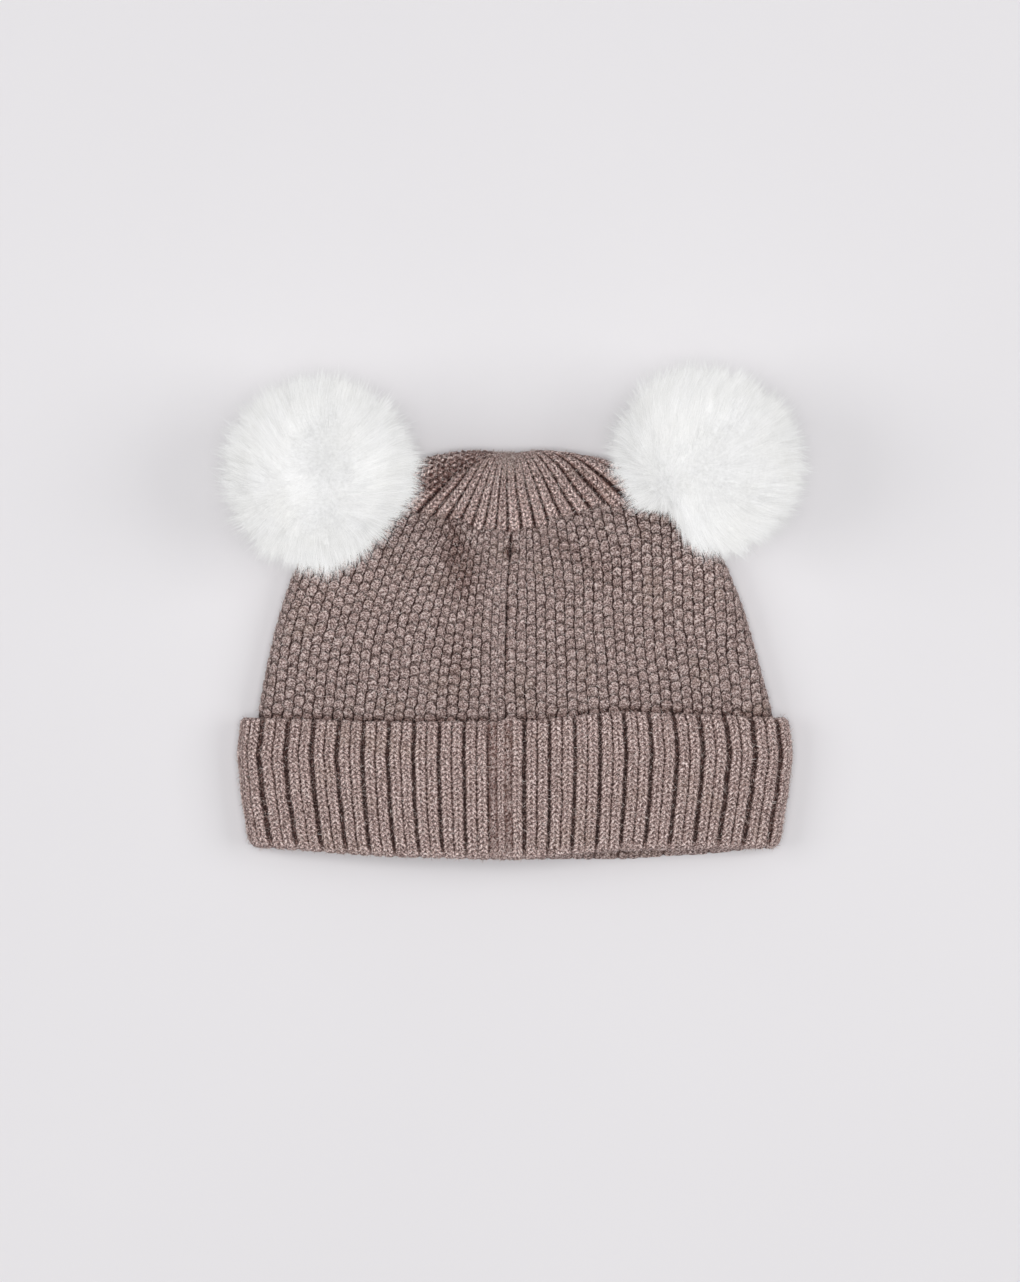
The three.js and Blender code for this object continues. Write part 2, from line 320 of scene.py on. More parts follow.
def zip_faces(first, first_places, second, second_places, flip=False):
    """Triangles between two runs of points, taken in the order of their rising places. The last
    corner is there twice."""
    faces = []
    i, j, last_i, last_j = 0, 0, len(first) - 1, len(second) - 1
    while i < last_i or j < last_j:
        if j == last_j or (i < last_i and first_places[i + 1] <= second_places[j + 1]):
            faces.append((first[i], first[i + 1], second[j], second[j]))
            i += 1
        else:
            faces.append((first[i], second[j + 1], second[j], second[j]))
            j += 1
    faces = np.array(faces)
    return faces[:, ::-1] if flip else faces


def every(step, count):
    """Every so many of a count of places, and the last one."""
    return np.unique(np.append(np.arange(0, count, step), count - 1))


def map_grid(u, v):
    """Map places for a grid of points, one row for each v."""
    return np.stack(np.broadcast_arrays(u[None, :], v[:, None]), -1)


class Sheet:
    """Points, faces and values of one mesh, collected part by part in millimetres."""

    def __init__(self):
        self.values = {"points": [], "stitch": [], "bake": [], "hollow": []}
        self.faces, self.slots = [], []
        self.count = 0

    def add_points(self, **grids):
        """Adds grids of points and of their values, and returns the grid of their numbers."""
        shape = grids["points"].shape[:2]
        ids = self.count + np.arange(shape[0] * shape[1]).reshape(shape)
        for key, grid in grids.items():
            grid = np.broadcast_to(grid, shape) if np.ndim(grid) < 2 else grid
            self.values[key].append(grid.reshape(ids.size, -1))
        self.count += ids.size
        return ids

    def add_faces(self, faces, slot=0):
        self.faces.append(faces)
        self.slots.append(np.broadcast_to(slot, len(faces)))

    def make(self, name, materials):
        """The mesh object. Points in the same place are joined; their map places stay apart."""
        values = {key: np.concatenate(grids) for key, grids in self.values.items()}
        points = values["points"] * MM
        rounded = np.round(points, 8)
        first, joined = np.unique(rounded, axis=0, return_index=True, return_inverse=True)[1:]
        joined = joined.ravel()
        corners, corner_points, sizes, slots = [], [], [], []
        for faces, face_slots in zip(self.faces, self.slots):
            for kept, kept_slots, kept_shared in whole_faces(faces, face_slots, joined[faces]):
                corners.append(kept.ravel())
                corner_points.append(kept_shared.ravel())
                sizes.append(np.full(len(kept), kept.shape[1]))
                slots.append(kept_slots)
        joined_corners, sizes = np.concatenate(corner_points), np.concatenate(sizes)
        made = new_object(name, points[first], joined_corners, sizes, materials)
        corners = np.concatenate(corners)
        for layer, key in (("stitch", "stitch"), ("OFBake", "bake")):
            places = values[key][corners].astype(np.float32)
            made.data.uv_layers.new(name=layer).uv.foreach_set("vector", places.ravel())
        add_attribute(made, "hollow", values["hollow"][first])
        made.data.polygons.foreach_set("material_index", np.concatenate(slots).astype(np.int32))
        return made


def above_floor(points, height):
    """The points, in place, with none lower than the height."""
    points[..., 2] = np.maximum(points[..., 2], height)
    return points


def add_attribute(made, name, values):
    attribute = made.data.attributes.new(name, "FLOAT", "POINT")
    attribute.data.foreach_set("value", values.astype(np.float32).ravel())


def whole_faces(faces, slots, shared):
    """Quads with all corners apart, and triangles from those with two neighbours joined."""
    same = shared == np.roll(shared, -1, 1)
    whole = ~same.any(1)
    yield faces[whole], slots[whole], shared[whole]
    for corner in range(4):
        kept = same[:, corner] & (same.sum(1) == 1)
        others = [k for k in range(4) if k != corner]
        yield faces[kept][:, others], slots[kept], shared[kept][:, others]


def new_object(name, points, corners, sizes, materials):
    """An object whose faces take so many corners each, in turn, from the corner list."""
    mesh = bpy.data.meshes.new(name)
    mesh.vertices.add(len(points))
    mesh.vertices.foreach_set("co", points.astype(np.float32).ravel())
    mesh.loops.add(len(corners))
    mesh.loops.foreach_set("vertex_index", corners.astype(np.int32))
    mesh.polygons.add(len(sizes))
    mesh.polygons.foreach_set("loop_start", (np.cumsum(sizes) - sizes).astype(np.int32))
    mesh.update(calc_edges=True)
    mesh.validate()
    for material in materials:
        mesh.materials.append(material)
    mesh.shade_smooth()
    made = bpy.data.objects.new(name, mesh)
    bpy.context.scene.collection.objects.link(made)
    return made


# ---------------------------------------------------------------- stitches

def seed_stitch(column, row):
    """Relief of the seed stitch, from 0 in the gaps to about 1. Each bump has a round head and
    sinks below the head of the next one under it."""
    whole = np.floor(column)
    across = (column - whole) * 2 - 1
    place = row + 0.5 * (whole % 2) - HEAD_ARC * across**2
    bump = np.floor(place)
    phase = place - bump
    head = 1 - np.exp(-phase / 0.07) * 0.6
    body = 1 - 0.34 * phase**1.6
    side = np.sqrt(np.clip(1 - np.abs(across) ** (4.2 + 2.4 * phase) * 0.98, 0, None))
    return side * head * body * (1 + 0.08 * per_stitch(whole, bump, 4)) + 0.02


def knit_wale(place, row):
    """Relief of one wale of plain knitting: two rows of legs that lean together. place runs from
    -1 to 1 across it, and row counts its stitches."""
    phase = (row + LEG_LEAN * np.abs(place)) % 1
    leg = np.sin(np.pi * phase) ** 0.7
    side = np.abs(place) * (1.06 - 0.06 * leg)
    dome = np.sqrt(np.clip(1 - side**3.2, 0, None))
    return dome * (0.78 + 0.22 * leg) - 0.20 * bell(place / 0.2) * (1 - 0.6 * leg)


# ---------------------------------------------------------------- crown

def wale_in_plan(across, along):
    """Where a wale lies in plan. across runs from -1, the left fold, over 0, the seam, to 1, the
    right fold; along runs from 0, the brim, to 1, the gathering point."""
    share = np.abs(across)

    def between(key, weight):
        side = np.where(across < 0, WALES["left"][key], WALES["right"][key])
        return lerp(WALES["seam"][key], side, weight)

    reach = between("reach", share**2)
    fan = across * math.pi / 2
    x = [between("foot", share), between("lean", share), GATHER[0] + reach * np.sin(fan), GATHER[0]]
    y = [CROWN_BRIM_Y, between("bend", share**2), GATHER[1] - reach * np.cos(fan), GATHER[1]]
    rest = 1 - along
    weights = [rest**3, 3 * along * rest**2, 3 * along**2 * rest, along**3]
    plan_x, plan_y = (sum(w * p for w, p in zip(weights, places)) for places in (x, y))
    offsets = (plan_x - GATHER[0]) / PUCKER["width"], (plan_y - GATHER[1]) / PUCKER["length"]
    return plan_x, plan_y - PUCKER["depth"] * bell(*offsets)


def crown_outline(steps=120):
    """The outline of the crown in plan, up the left fold and down the right one."""
    along = np.linspace(0, 1, steps + 1)
    left, right = (np.stack(wale_in_plan(side, along), 1) for side in (-1.0, 1.0))
    return np.concatenate([left, right[-2::-1]])


def nearest_on_outline(x, y):
    """Distance to the crown's outline in plan, and the outward direction there."""
    outline = crown_outline()
    points = np.stack([x, y], -1)
    nearest = np.full(x.shape, np.inf)
    outward = np.zeros(points.shape)
    for start, run in zip(outline[:-1], np.diff(outline, axis=0)):
        offset = points - start
        share = np.clip(offset @ run / (run @ run), 0, 1)
        rest = offset - share[..., None] * run
        squared = np.einsum("...i,...i", rest, rest)
        closer = squared < nearest
        nearest[closer] = squared[closer]
        outward[closer] = (-run[1], run[0]) / np.hypot(*run)
    return np.sqrt(nearest), outward


def crease_depth(x, y):
    depth = np.zeros_like(x)
    for crease in CREASES:
        long_way, short_way = along_and_across(x, y, crease)
        depth += crease["depth"] * bell(long_way / crease["length"], short_way / crease["width"])
    return depth


def crown_heights(x, y, distance, creases):
    """Heights of the crown's upper side and underside, this far inside its outline in plan."""
    lift, radius, rise = look_up(CROWN_ROWS, "y", y, "lift", "fold", "rise")
    roll = np.sqrt(1 - (1 - np.minimum(1, distance / radius)) ** 2)
    rise = (rise * arch(x) - creases) * roll
    return lift + radius * (1 + roll) + rise, lift + radius * (1 - roll)


def crown_surface(ring, along):
    """The crown's outer surface, one row of points around the hat for each value of along, and
    each point's place in plan with the folds rolled out flat."""
    flat, turn, side = ring
    half = np.abs(np.where(flat < 0, WALES["left"]["foot"], WALES["right"]["foot"]))
    across = (flat * (half - CROWN_FOLD) + CROWN_FOLD * np.cos(turn) * side) / half
    x, y = wale_in_plan(across[None, :], along[:, None])
    distance, outward = nearest_on_outline(x, y)
    distance[:, turn == 0] = 0
    upper, under = crown_heights(x, y, distance, crease_depth(x, y))
    points = np.stack([x, y, np.where(turn > 0, upper, under)], -1)

    radius = look_up(CROWN_ROWS, "y", y, "fold")
    turned = np.arcsin(1 - np.minimum(1, distance / radius))  # how far the fold has turned down
    above = radius * (turned - np.sin(turned))
    below = distance + radius * (math.pi / 2 - 1) + radius * (math.pi / 2 - turned)
    below += np.maximum(0, distance - radius)
    extra = np.where(turn > 0, above, below)
    return points, np.stack([x, y], -1) + outward * extra[..., None]


def even_rows(step):
    """Values of along whose rows lie about one step apart, part of the way from seam to side."""
    along = np.linspace(0, 1, 600)
    x, y = wale_in_plan(0.3, along)
    length = np.append(0, np.cumsum(np.hypot(np.diff(x), np.diff(y))))
    count = round(length[-1] / step)
    return np.interp(np.linspace(0, length[-1], count + 1), length, along)


def seed_column(x, y):
    """Columns of seed stitch counted from the seam, with two narrower ones left of it. They draw
    together upwards, more so on the left half and close to the fan."""
    across = x - WALES["seam"]["foot"] - SEAM_SWING * smoothstep(-10, 45, y)
    away = np.abs(across)
    climb = np.clip(y - COLUMNS_FROM_Y, -20, 70)
    drop = np.sqrt(COLUMNS_TURN["radius"] ** 2 - np.minimum(away, 56) ** 2)
    near_fan = np.maximum(0, y - COLUMNS_TURN["y"] + drop)
    right = 0.09 * climb * smoothstep(0, 47, away)
    right = right + 0.22 * near_fan**2 / (near_fan + 8) * smoothstep(0, 12, away)
    left = (0.10 * climb + 0.0026 * climb * np.abs(climb)) * smoothstep(0, 30, away)
    arc = across + np.where(across > 0, right, -left)
    narrow = 2 * SEAM_COLUMN_WIDTH
    inner = np.where(-arc < narrow, arc / SEAM_COLUMN_WIDTH, (arc + narrow) / BUMP_WIDTH - 2)
    return np.where(arc < 0, inner, arc / BUMP_WIDTH)


def seed_row(x, y):
    """Rows of bumps counted downwards from the fan of ribs."""
    outwards = np.hypot(x - SEAM_X, ROWS_ROUND) - ROWS_ROUND
    start = FAN_Y + ROWS_CLIMB * outwards
    return (start - y) / (BUMP_LENGTH + BUMP_STRETCH * (np.minimum(np.abs(x), 110) / 90) ** 2)


def seed_relief(x, y):
    """Relief of the seed stitch and its seam, with the column and row of each place."""
    column = uneven(seed_column(x, y), x, y, (0.12, 13, 11), (0.085, 3.4, 31))
    row = uneven(seed_row(x, y), x, y, (0.20, 10, 12), (0.12, 3.1, 32))
    row = row + 0.10 * per_stitch(np.floor(column), np.floor(row / 7), 33)
    weave = 0.01 + 0.03 * smoothstep(8, 24, np.abs(x - 8))
    weave = weave * smoothstep(0.9, 1.8, np.abs(column + 1))
    column = column - weave * np.cos(2 * np.pi * row) * np.cos(np.pi * column)
    seed = seed_stitch(column, row)
    seam = smoothstep(0.15, -0.1, np.abs(column + 1) - 1)
    seed = lerp(seed, 0.45 + 0.62 * seed, seam)
    groove = 0.62 * uneven(0.7, x, y, (0.6, 2.6, 34))
    return seed - groove * bell(column / 0.19) - 0.12 * bell((column + 2) / 0.17), column, row


def recess_relief(x, y):
    """Relief of the sunken part left of the fan, and where it is."""
    along, inwards = along_and_across(x, y, RECESS)
    inwards = np.where(x < RECESS["x"], inwards, -9.0)
    line = uneven(inwards / RECESS_ROW, x, y, (0.12, 4, 15))
    turn = 2 * np.pi * along / RECESS_PITCH + np.pi * np.floor(line)
    purl = 0.46 + 0.26 * np.sin(2 * np.pi * line) + 0.42 * np.cos(turn)
    purl = uneven(purl, x, y, (0.22, 0.9, 16)) + 0.16 * smoothstep(4, 9, inwards)
    return purl, smoothstep(-0.4, 1.4, inwards)


def fan_relief(x, y):
    """Relief of the fan, its ribs and rows counted, and the distance from its centre."""
    dx, dy = x - FAN_CENTRE[0], FAN_CENTRE[1] - y
    reach = np.hypot(dx, dy)
    left, right = [width + spread * reach for width, spread in FAN_RIBS.values()]
    rib = np.arctan2(dx, dy) * reach / np.where(dx < 0, left, right)
    rib = uneven(rib, x, y, (0.06, 9, 13))
    row = reach / KNIT_ROW + 0.2 * per_stitch(np.floor(rib), np.floor(reach / 6), 17)
    ribs = knit_wale(np.clip(FAN_GROOVE * ((rib % 1) * 2 - 1), -1, 1), row)
    fan = lerp(0.72 + 0.2 * (ribs - 0.72), ribs, smoothstep(0.0, 4.0, reach))
    purl, sunken = recess_relief(x, y)
    return lerp(fan, purl, sunken), rib, row, reach


def crown_relief(flat):
    """Relief from 0 in the gaps to about 1, the map places, and where the ribs are. flat gives
    each point's place with the folds rolled out."""
    x, y = flat[..., 0], flat[..., 1]
    seed, column, row = seed_relief(x, y)
    fan, rib, fan_row, reach = fan_relief(x, y)
    ragged = row - 0.25 * per_stitch(np.floor(rib), np.zeros_like(rib), 18)
    in_fan = smoothstep(0.12, -0.12, ragged) * smoothstep(50, 44, reach)
    height = lerp(seed, fan, in_fan) - 0.25 * bell(ragged / 0.10) * (reach < 46)
    for mark in MARKS:
        offsets = (x - mark["x"]) / mark["radius"], (y - mark["y"]) / mark["radius"]
        height = height + mark["height"] * bell(*offsets)
    ribbed = in_fan > 0.5
    stitch = np.stack([np.where(ribbed, 2 * rib - 1, column), np.where(ribbed, fan_row, row)], -1)
    return height, stitch, ribbed


def make_crown(materials, fuzz_materials):
    ring = ring_around(CROWN_HALF_WIDTH, CROWN_FOLD, CROWN_COLUMN_STEP, CROWN_UNDER_STEP)
    points, flat = crown_surface(ring, even_rows(CROWN_ROW_STEP))
    normals = ring_normals(points)
    x, y, z = np.moveaxis(points, -1, 0)
    height, stitch, ribbed = crown_relief(flat)
    free = smoothstep(*CROWN_FREE_Y, y) * smoothstep(*OFF_FLOOR, z)
    edge_y = look_up(CUFF_EDGES, "x", x, "top")
    tuck = smoothstep(edge_y + 3.2, edge_y + 0.4, y) * (ring[1] > 0)  # where the cuff presses
    # The lower height also paints the yarn darker here: a painted shade line above the cuff's edge.
    height = height - 0.4 * tuck
    step = np.linalg.norm(np.gradient(points, axis=1), axis=2)
    depth = SEED_DEPTH * np.minimum(1, 0.3 + 0.9 * step / step[0])  # less where columns are narrow
    relief = SEED_PROUD * free - depth * (1 - height) - 0.5 * tuck
    relief[-1] = 0
    shaped = above_floor(points + normals * relief[..., None], LOWEST)
    # hollow is painted shade: the deeper a place lies in the relief and in a crease, the darker the
    # yarn is painted.
    sunk = np.maximum(0, crease_depth(x, y))
    hollow = np.clip(1 - height + CREASE_SHADE * sunk, 0, 1.3)

    sheet = Sheet()
    rows, columns = points.shape[:2]
    u, v = np.linspace(0.01, 0.99, columns), np.linspace(0.12, 0.99, rows)
    outer = sheet.add_points(points=shaped, stitch=stitch, bake=map_grid(u, v), hollow=hollow)
    sheet.add_faces(grid_faces(outer), ribbed.astype(int)[:-1, :-1].ravel())

    picked = every(CROWN_INSIDE["columns"], columns)
    coarse = np.ix_(every(CROWN_INSIDE["rows"], rows), picked)
    inner_points = (points - normals * KNIT)[coarse]
    inner_points[-1] = inner_points[-2].mean(0)
    bake = map_grid(u[picked], np.linspace(0.06, 0.01, len(inner_points)))
    inner = sheet.add_points(points=inner_points, stitch=stitch[coarse], bake=bake, hollow=0.2)
    sheet.add_faces(grid_faces(inner, flip=True))
    sheet.add_faces(zip_faces(outer[0], u, inner[0], u[picked], flip=True))

    rng = np.random.default_rng(41)
    open_part = (free > 0.9) & (in_pompom(shaped) > 1.0) & (ring[1] >= FUZZ_DOWN_TO)
    fuzz = make_fuzz("crown_fuzz", shaped, normals, open_part, CROWN_FUZZ, rng, fuzz_materials)
    return [sheet.make("crown_knit", materials), fuzz]


# ---------------------------------------------------------------- cuff

def cuff_point(ring, y, inset):
    """Points of the cuff for grids of y and of the inset from its outer surface."""
    flat, turn, side = ring
    left, right = look_up(CUFF_SIDES, "y", y, "left", "right")
    edge = np.where(flat < 0, -left, right)
    inner_share = np.clip((inset - KNIT) / GAP, 0, 1)
    bottom = CUFF_SIDES[-1]["y"]
    height_share = np.clip((y - bottom) / (CUFF_INNER_TOP_Y - bottom), 0, 1)
    half = edge - LEG_SIDE_GAP * inner_share * height_share
    x = flat * (half - CUFF_FOLD) + side * (CUFF_FOLD - inset) * np.cos(turn)
    rise = np.where(turn > 0, CUFF_RISE * arch(x) * np.sin(turn), 0)
    z = CUFF_FOLD + (CUFF_FOLD - inset) * np.sin(turn) + rise
    return np.stack([x, y + 0 * x, z], -1)


def cuff_wales():
    """Middles and half widths of all knit wales, from left to right of the seam."""
    index = np.arange(RIB_COUNT + 1)
    spread = RIB_SPREAD * np.minimum(index, RIB_SPREAD_COUNT) ** 2
    grooves = FIRST_GROOVE + RIB_PERIOD * index + spread
    pairs = (grooves[:-1] + grooves[1:]) / 2
    reach = WALE_HALF_WIDTH * WALE_SPACING
    paired = np.stack([pairs - reach, pairs + reach], 1).ravel()
    middles = np.concatenate([-paired[::-1], [wale["middle"] for wale in SEAM_WALES], paired])
    halves = np.full(len(middles), WALE_HALF_WIDTH)
    halves[len(paired) : -len(paired)] = [wale["half"] for wale in SEAM_WALES]
    return middles, halves


def cuff_relief(arc, down):
    """Relief of the ribbing and its map places. arc is the way around from the seam, down the way
    from the top edge."""
    arc = uneven(arc, arc, down, (0.2, 17, 21), (0.15, 5, 22))
    arc = uneven(arc, arc, down, (0.08, 1.9, 29))
    row = -down / KNIT_ROW
    middles, halves = cuff_wales()
    wale = np.clip(np.searchsorted(middles, arc), 1, len(middles) - 1)
    nearer = np.abs(arc - middles[wale - 1]) < np.abs(arc - middles[wale])
    wale = np.where(nearer, wale - 1, wale)
    row = uneven(row + 0.3 * per_stitch(wale, 0 * wale, 23), arc, down, (0.16, 2.4, 28))
    half = halves[wale] * (1 + 0.05 * per_stitch(wale, np.floor(row), 27))
    half = half * (1 + 0.06 * np.cos(2 * np.pi * (row + LEG_LEAN - 0.5)))
    place = (arc - middles[wale]) / half
    knit = knit_wale(np.clip(place, -1, 1), row)
    knit = knit * (1 + 0.04 * per_stitch(wale, np.floor(row), 24))
    in_row = np.sin(2 * np.pi * row)
    purl = uneven(0.10 + 0.12 * in_row * np.cos(arc * 2.2), arc, down, (0.10, 0.9, 25))
    dots = np.cos(2 * np.pi * arc / PURL_PITCH + np.pi * np.floor(row))
    bumpy = uneven(0.62, arc, down, (0.45, 0.95, 26)) + 0.2 * in_row + 0.2 * dots
    strip = sum(bell((arc - one["middle"]) / one["half"]) for one in PURL_STRIPS)
    purl = purl + bumpy * strip
    height = np.where(np.abs(place) < 1, np.maximum(knit, purl), purl)
    lump = bell((arc - CUFF_LUMP["arc"]) / CUFF_LUMP["width"]) * smoothstep(4.2, 2.4, down)
    height = lerp(height, 0.95, lump)
    place = np.where((strip > 0.25) & (np.abs(place) > 1), 0.45 + 0.35 * dots, place)
    return height, np.stack([wale * 2.0 + place, row], -1)


def cuff_path(top, bottom):
    """Ways down the cuff: y and inset for each row, over the lip, down the outer leg and around
    the fold. top and bottom are given for each place around the hat."""
    fold_radius = KNIT + GAP / 2
    fold_y = bottom + fold_radius
    lip = KNIT / 2
    rows = []
    for turn in np.radians([40, 75, 110, 145]):
        rows.append((top - lip + lip * np.sin(turn), lip + lip * np.cos(turn)))
    length = float(np.mean(top - lip - fold_y))
    for share in np.linspace(0, 1, round(length / CUFF_ROW_STEP)):
        rows.append((lerp(top - lip, fold_y, share), 0))
    steps = round(math.pi * fold_radius / CUFF_ROW_STEP / 1.2)
    for turn in np.linspace(0, math.pi, steps)[1:]:
        rows.append((fold_y - fold_radius * math.sin(turn), fold_radius * (1 - math.cos(turn))))
    return row_grids(rows, top)


def row_grids(rows, like):
    """Grids of y and inset from rows that give each as one number or as one for each column."""
    return [np.array([row[k] + 0 * like for row in rows]) for k in (0, 1)]


def add_inner_leg(sheet, outer, ring, arc, down, top, bottom):
    """The inner leg, up its inside and back down between the legs, then up behind the outer leg.
    outer has the outer leg's point numbers, and down says how far the inner leg's foot is from
    the lip."""
    fold_y = bottom + KNIT + GAP / 2
    shares, hidden = np.linspace(0, 1, INNER_LEG_ROWS), np.linspace(0, 1, HIDDEN_ROWS)
    rows = [(lerp(fold_y, CUFF_INNER_TOP_Y, share), 2 * KNIT + GAP) for share in shares]
    rows += [(lerp(CUFF_INNER_TOP_Y, fold_y, share), LEG_PITCH) for share in hidden]
    rows += [(lerp(fold_y, top - KNIT / 2, share), KNIT) for share in hidden]
    points = cuff_point(ring, *row_grids(rows, top))
    knitted = slice(INNER_LEG_ROWS)
    normals = -ring_normals(points[knitted])
    down = down + shares[:, None] * (CUFF_INNER_TOP_Y - fold_y)
    height, leg_stitch = cuff_relief(arc + 0 * down, down)
    points[knitted] -= normals * (INNER_RIB_DEPTH * (1 - height))[..., None]
    stitch = np.zeros(points.shape[:2] + (2,))
    stitch[knitted] = leg_stitch
    # Painted shade on the inner leg: darker the deeper a place lies in the relief.
    hollow = np.full(points.shape[:2], 0.3)
    hollow[knitted] = np.clip(1 - height, 0, 1.2)
    places = np.linspace(0.01, 0.99, outer.shape[1])
    picked = places[every(CUFF_INSIDE_COLUMNS, len(places))]
    bake = map_grid(picked, np.linspace(0.28, 0.01, len(rows)))
    inner = sheet.add_points(points=points, stitch=stitch, bake=bake, hollow=hollow)
    sheet.add_faces(grid_faces(inner, flip=True))
    sheet.add_faces(zip_faces(outer[-1], places, inner[0], picked, flip=True))
    sheet.add_faces(zip_faces(outer[0], places, inner[-1], picked))


def make_tail(points, bottom, materials):
    """The short end of yarn left over from the seam, curling over the fold at the bottom."""
    share = np.linspace(0, 1, 9)
    x = lerp(SEAM_X + 0.2, SEAM_X - 2.7, share**1.3)
    upper = slice(len(bottom) // 2)
    y = np.interp(SEAM_X, points[0, upper, 0], bottom[upper]) + lerp(6.6, 0.4, share)
    z = CUFF_FOLD * 2 + CUFF_RISE + lerp(0.9, -1.1, share**2)
    path = np.stack([x, y, z], 1)
    plies = [path + np.random.default_rng(50 + k).normal(0, 0.07, 3) for k in range(5)]
    rng = np.random.default_rng(43)
    tone = rng.uniform(0, 1, len(plies))
    return ribbons("cuff_tail", np.array(plies), TAIL_WIDTH, (1.0,) * 8, tone, rng, materials)


def make_cuff(materials, fuzz_materials):
    ring = ring_around(CUFF_HALF_WIDTH, CUFF_FOLD, CUFF_COLUMN_STEP, CUFF_UNDER_STEP)
    columns = ring.shape[1]

    def level(y):
        return cuff_point(ring, np.full((1, columns), float(y)), np.zeros((1, columns)))[0]

    middle = level(-60)
    top_x, arc = middle[: columns // 2, 0], lengths(middle)
    arc = arc - np.interp(SEAM_X, top_x, arc[: len(top_x)])  # zero where it passes the seam
    x = level(CUFF_INNER_TOP_Y)[:, 0]
    top, upper, under = look_up(CUFF_EDGES, "x", x, "top", "upper", "under")
    top = top + SEAM_LUMP["height"] * bell((x - SEAM_LUMP["x"]) / SEAM_LUMP["width"])
    bottom = lerp(under, upper, (np.sin(ring[1]) + 1) / 2)
    y, inset = cuff_path(top, bottom)
    points = cuff_point(ring, y, inset)
    normals = -ring_normals(points)

    down = lengths(points)
    height, stitch = cuff_relief(np.broadcast_to(arc, down.shape), down)
    edge = smoothstep(0.8, 3.4, down) * lerp(1, 0.45, smoothstep(0, KNIT, inset))
    fold = smoothstep(4.5, 1.0, np.hypot(y - bottom, inset))
    height = lerp(0.45 + 0.5 * height, height, edge)
    height = lerp(height, 0.62 + 0.3 * height, fold)
    free = smoothstep(*OFF_FLOOR, points[..., 2]) * smoothstep(KNIT + 1.5, KNIT - 0.5, inset)
    relief = RIB_PROUD * free - RIB_DEPTH * (1 - height)
    shaped = above_floor(points + normals * relief[..., None], LOWEST)

    sheet = Sheet()
    bake = map_grid(np.linspace(0.01, 0.99, columns), np.linspace(0.99, 0.30, len(points)))
    # Painted shade: darker the deeper a place lies in the relief, in the grooves and between the
    # legs.
    hollow = np.clip(1 - height, 0, 1.2)
    outer = sheet.add_points(points=shaped, stitch=stitch, bake=bake, hollow=hollow)
    sheet.add_faces(grid_faces(outer, flip=True))
    picked = every(CUFF_INSIDE_COLUMNS, columns)
    around = (values[..., picked] for values in (ring, arc, down[-1], top, bottom))
    add_inner_leg(sheet, outer, *around)

    rng = np.random.default_rng(42)
    open_part = (free > 0.9) & (inset < KNIT) & (ring[1] >= FUZZ_DOWN_TO)
    tail = make_tail(points, bottom, fuzz_materials)
    fuzz = make_fuzz("cuff_fuzz", shaped, normals, open_part, CUFF_FUZZ, rng, fuzz_materials)
    return [sheet.make("cuff_rib", materials), fuzz, tail]


# ---------------------------------------------------------------- fur

CROWN_FUZZ = 20000  # loose fibres on each piece of knitting
CUFF_FUZZ = 15000
FUZZ_DOWN_TO = -0.5  # angle around the side folds, in radians
FUZZ_LENGTH = 1.9
FUZZ_WIDTH = 0.15
TAIL_WIDTH = 0.22
FUR_STRANDS = 60000
FUR_TUFTS = 5500
STRAND_WIDTH = 0.12
GUARD_WIDTH = 1.7  # guard hairs are this much wider, and reach furthest
GUARD_SHARE = {"top": 0.12, "rim": 0.32}  # how many strands are guard hairs
GUARD_REACH = (0.93, 1.08)  # as a share of the tuft's reach
UNDER_REACH = (0.80, 1.02)  # of all other strands
TUFT_REACH = (0.90, 1.11)  # as a share of the CAD pompom's radii
ROOT_SHARE = 0.76  # roots start this far out from the middle
CORE_SHARE = 0.86  # size of the dense body under the strands
SHARE_BELOW = 0.3  # the underside has only this share of the strands
FUR_SWIRL = {"parting": 0.30, "elsewhere": 0.14}  # uneven leaning, in radii
FUR_LEAN = 0.46  # how far the hair leans away from where it parts
FUR_PARTS_AT = {"pompom_left": (-0.05, -0.12), "pompom_right": (-0.35, -0.35)}  # in radii
# Where the crown parts the fur: direction and width in degrees, from +X
POMPOM_DENTS = {
    "pompom_left": table("angle width depth", (-42, 28, 0.10)),
    "pompom_right": table("angle width depth", (238, 24, 0.38), (196, 14, 0.11)),
}
CORE_GRID = (60, 91)  # points from top to bottom and around


def sphere_directions(count, jitter, rng):
    """Directions spread evenly over a sphere, each moved a little at random."""
    index = np.arange(count) + 0.5
    z = 1 - 2 * index / count
    turn = index * math.pi * (3 - math.sqrt(5))
    flat = np.sqrt(1 - z * z)
    even = np.stack([flat * np.cos(turn), flat * np.sin(turn), z], 1)
    return unit(even + rng.normal(0, jitter, even.shape))


def in_crown(points):
    """Whether points are in the crown or less than a strand's clearance from it."""
    x, y, z = np.moveaxis(points, -1, 0)
    inside = points_inside(crown_outline(), x, y)
    distance = np.where(inside, nearest_on_outline(x, y)[0], 0)
    top, under = crown_heights(x, y, distance, 0)
    return inside & (z < top + 0.6) & (z > under - 0.3)


def points_inside(outline, x, y):
    inside = np.zeros(x.shape, bool)
    for (x0, y0), (x1, y1) in zip(outline, np.roll(outline, -1, 0)):
        if y0 != y1:
            crosses = (y0 > y) != (y1 > y)
            inside ^= crosses & (x < (x1 - x0) * (y - y0) / (y1 - y0) + x0)
    return inside


def pompom_box(node):
    """Middle and half size of a CAD pompom."""
    low, high = box_mm(node)
    return (low + high) / 2, (high - low) / 2


def in_pompom(points):
    """Distance from the nearer pompom's middle, as a share of its radius in plan."""
    shares = []
    for node in FUR_PARTS_AT:
        middle, half = pompom_box(node)
        shares.append(np.linalg.norm((points - middle)[..., :2] / half[:2], axis=-1))
    return np.minimum(*shares)


def nearest_tuft(directions, tufts, at_once=4000):
    parts = [directions[start : start + at_once] for start in range(0, len(directions), at_once)]
    return np.concatenate([np.argmax(part @ tufts.T, 1) for part in parts])


